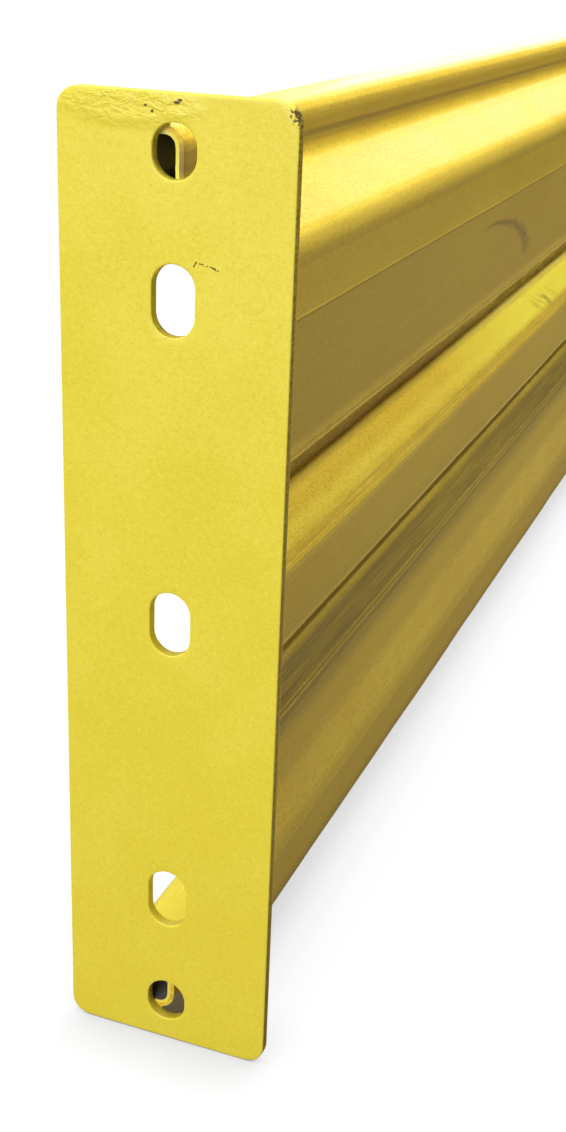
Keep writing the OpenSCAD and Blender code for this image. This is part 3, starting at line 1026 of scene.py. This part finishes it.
def soft_box(name, place, aim, size, power, colour=(1, 1, 1), mirrored=True):
    """A rectangular lamp at place, facing aim, with its power in watts."""
    lamp = bpy.data.lights.new(name, "AREA")
    lamp.shape, lamp.size, lamp.size_y = "RECTANGLE", *size
    lamp.energy, lamp.color = power, colour
    holder = bpy.data.objects.new(name, lamp)
    holder.location = place
    heading = np.array(aim, float) - np.array(place, float)
    holder.rotation_euler = Vector(heading).to_track_quat("-Z", "Y").to_euler()
    holder.visible_camera, holder.visible_glossy = False, mirrored
    bpy.context.scene.collection.objects.link(holder)


def surround_room():
    """A world that the camera sees as white, and every other ray as dim and warm."""
    world = bpy.data.worlds.new("room")
    bpy.context.scene.world = world
    world.use_nodes = True
    nodes, links = world.node_tree.nodes, world.node_tree.links
    nodes.clear()
    dim, white = (nodes.new("ShaderNodeBackground") for _ in range(2))
    dim.inputs["Color"].default_value = (0.9, 0.78, 0.58, 1)
    dim.inputs["Strength"].default_value = 0.03
    white.inputs["Color"].default_value = (1, 1, 1, 1)
    white.inputs["Strength"].default_value = 1.0
    ray = nodes.new("ShaderNodeLightPath")
    mix = nodes.new("ShaderNodeMixShader")
    out = nodes.new("ShaderNodeOutputWorld")
    links.new(ray.outputs["Is Camera Ray"], mix.inputs[0])
    links.new(dim.outputs[0], mix.inputs[1])
    links.new(white.outputs[0], mix.inputs[2])
    links.new(mix.outputs[0], out.inputs["Surface"])


CAMERA_PLACE = (-1.0858, -0.2206, 0.4368)
CAMERA_YAW, CAMERA_PITCH, CAMERA_ROLL = (math.radians(a) for a in (20.256, 22.526, -2.31))
LENS, SENSOR = 48.37, 36


def set_camera():
    """A camera beyond the left plate, looking along the beam, downward and a little across
    it from front to back."""
    lens = bpy.data.cameras.new("camera")
    lens.lens, lens.sensor_width, lens.sensor_fit = LENS, SENSOR, "AUTO"
    lens.clip_start, lens.clip_end = 0.02, 200
    camera = bpy.data.objects.new("camera", lens)
    along_x = Matrix(((0, 0, 1), (-1, 0, 0), (0, -1, 0)))
    flip = Matrix(((1, 0, 0), (0, -1, 0), (0, 0, -1)))
    turn = (Matrix.Rotation(CAMERA_YAW, 3, "Z") @ Matrix.Rotation(CAMERA_PITCH, 3, "Y")
            @ along_x @ Matrix.Rotation(CAMERA_ROLL, 3, "Z"))
    camera.matrix_world = Matrix.Translation(CAMERA_PLACE) @ (turn @ flip).to_4x4()
    bpy.context.scene.collection.objects.link(camera)
    bpy.context.scene.camera = camera


lay_floor()
surround_room()
soft_box("overhead_strip", (0, 0.06, 1.8), (0, 0, 0.2), (2.4, 0.3), 29)
soft_box("front_strip", (0.3, -0.61, 1.15), (0.3, -0.05, 0.2), (2.2, 0.10), 16.5, mirrored=False)
soft_box("low_front", (0.2, -0.75, -0.35), (0.2, 0, 0.15), (2.2, 0.5), 4.5, (1, 0.96, 0.88),
         mirrored=False)
soft_box("end_light", (-3.4, 0.25, 1.15), (-0.6, 0, 0.19), (1.6, 1.4), 77)
soft_box("far_card", (3.2, 0.6, 0.9), (0, 0.6, 0.9), (1.3, 1.8), 9)
soft_box("rear_light", (-0.05, 1.6, 1.7), (0, 0, 0.2), (2.0, 1.0), 43)
soft_box("floor_bounce", (0, 0.05, -1.2), (0, 0.05, 0.2), (2.4, 0.9), 7, (1, 0.93, 0.8))
set_camera()
bpy.context.scene.view_settings.view_transform = "Standard"
